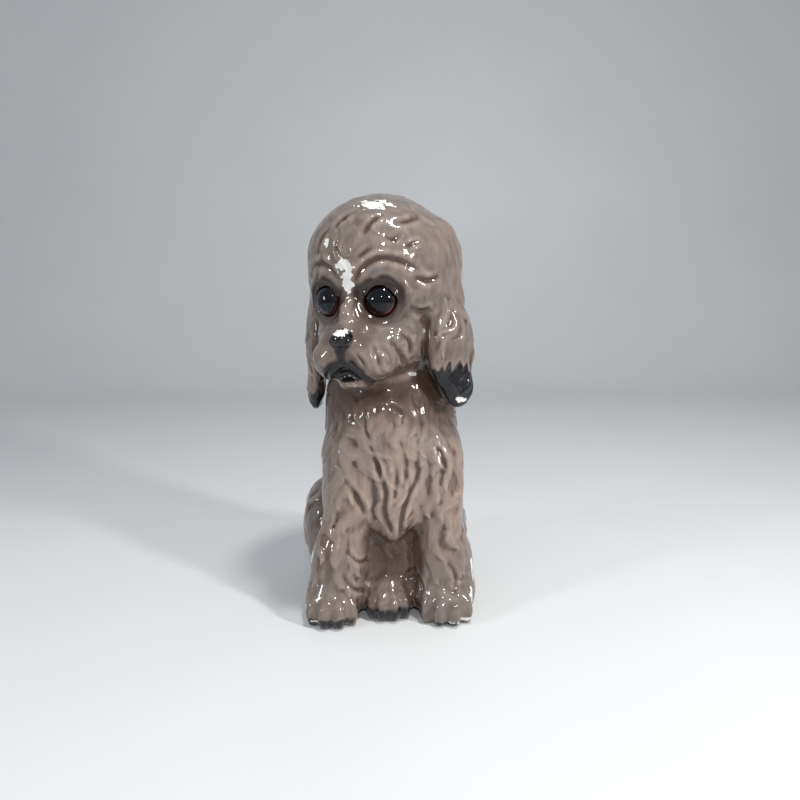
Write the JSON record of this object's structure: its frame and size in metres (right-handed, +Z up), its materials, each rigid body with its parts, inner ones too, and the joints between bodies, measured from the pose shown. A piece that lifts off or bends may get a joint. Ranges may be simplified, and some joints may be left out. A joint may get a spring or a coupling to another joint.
{
  "type": "dog figurine",
  "caption": "Hollow glazed ceramic figurine of a sitting poodle puppy with a turned head, hanging ears and set-in glass eyes, standing on its flat base.",
  "frame": {"origin": "on the table plane, under the middle of the chest, at the figure's own base face", "axes": "+Z up, -Y the way the chest faces, +X towards the dog's left side"},
  "size_m": [0.1347, 0.1582, 0.3002],
  "materials": {
    "glazed_body": "gloss",
    "glazed_ears": "gloss",
    "glazed_legs": "gloss",
    "eye_glass": "polished",
    "eye_paint": "gloss",
    "plaster": "matte"
  },
  "bodies": {
    "root": {"torso_shell": "glazed_body", "head_shell": "glazed_body", "ear_left": "glazed_ears", "ear_right": "glazed_ears", "front_leg_left": "glazed_legs", "front_leg_right": "glazed_legs", "hind_leg_left": "glazed_body", "hind_leg_right": "glazed_body", "hind_foot_right": "glazed_legs", "tail": "glazed_body", "eye_left_glass": "eye_glass", "eye_left_iris": "eye_paint", "eye_left_setting": "plaster", "eye_right_glass": "eye_glass", "eye_right_iris": "eye_paint", "eye_right_setting": "plaster"}
  },
  "joints": []
}
